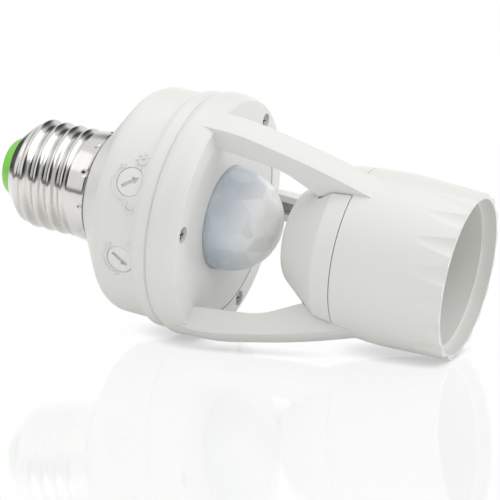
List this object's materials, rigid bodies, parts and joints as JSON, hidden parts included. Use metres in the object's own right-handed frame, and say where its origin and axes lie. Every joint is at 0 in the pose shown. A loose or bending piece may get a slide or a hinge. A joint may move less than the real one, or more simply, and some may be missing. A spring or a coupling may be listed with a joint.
{
  "type": "motion sensor lamp holder",
  "caption": "Screw-in lamp adapter with a round motion sensor housing, dome lens, two setting knobs and a lamp socket carried on open arms.",
  "frame": {"origin": "centre of the rim of the lamp socket's mouth, on the plane of the rim", "axes": "+Z along the plug's axis from the socket's mouth towards the plug's contact; -Y towards the middle of the side with the two setting knobs; +Y towards the arm without a wire"},
  "size_m": [0.0584, 0.0584, 0.1195],
  "materials": {
    "housing_white": "fine satin moulding",
    "cover_white": "fine satin moulding",
    "knob_white": "fine satin moulding",
    "plate_white": "fine satin moulding",
    "lens_milky": "translucent, ribbed inside",
    "shell_nickel": "bright nickel-plated sheet",
    "screw_steel": "zinc-plated",
    "rivet_steel": "zinc-plated",
    "contact_solder": "tinned",
    "tongue_copper": "bright spring bronze",
    "socket_metal": "bright rolled sheet",
    "tip_green": "gloss",
    "core_white": "matt ceramic-like moulding",
    "board_green": "lacquered laminate",
    "sensor_can": "plated can",
    "seat_black": "matt",
    "cell_clear": "clear resin",
    "relay_blue": "matt",
    "film_yellow": "gloss",
    "chip_black": "matt",
    "sleeve_dark": "shrunk sleeve",
    "ceramic_blue": "lacquered body",
    "trimmer_blue": "matt",
    "wire_red": "soft insulation",
    "wire_black": "soft insulation"
  },
  "bodies": {
    "holder": {"screw_shell": "shell_nickel", "tip_insulator": "tip_green", "centre_contact": "contact_solder", "rear_cover": "cover_white", "front_frame": "housing_white", "face_plate": "plate_white", "dome_lens": "lens_milky", "pir_sensor": "sensor_can", "sensor_seat": "seat_black", "light_cell": "cell_clear", "main_board": "board_green", "relay": "relay_blue", "dropper_capacitor": "film_yellow", "control_chip": "chip_black", "bridge_rectifier": "chip_black", "smoothing_capacitor": "sleeve_dark", "fuse_resistor": "ceramic_blue", "lux_trimmer": "trimmer_blue", "time_trimmer": "trimmer_blue", "cover_screw_1": "screw_steel", "cover_screw_2": "screw_steel", "cover_screw_3": "screw_steel", "socket_shell": "socket_metal", "socket_core": "core_white", "centre_tongue": "tongue_copper", "tongue_rivet": "rivet_steel", "shell_rivet": "rivet_steel", "socket_cap": "housing_white", "lamp_wire_live": "wire_red", "lamp_wire_neutral": "wire_black", "feed_wire_live": "wire_red", "feed_wire_neutral": "wire_black"},
    "lux_dial": {"lux_knob": "knob_white"},
    "time_dial": {"time_knob": "knob_white"}
  },
  "joints": [
    {"name": "lux_knob_turn", "type": "hinge", "parent": "holder", "child": "lux_dial", "pos_m": [0.00834, -0.02357, 0.0743], "axis": [0.3338, -0.9426, 0], "range_deg": [-105, 105]},
    {"name": "time_knob_turn", "type": "hinge", "parent": "holder", "child": "time_dial", "pos_m": [-0.00834, -0.02357, 0.0743], "axis": [-0.3338, -0.9426, 0], "range_deg": [-105, 105]}
  ]
}
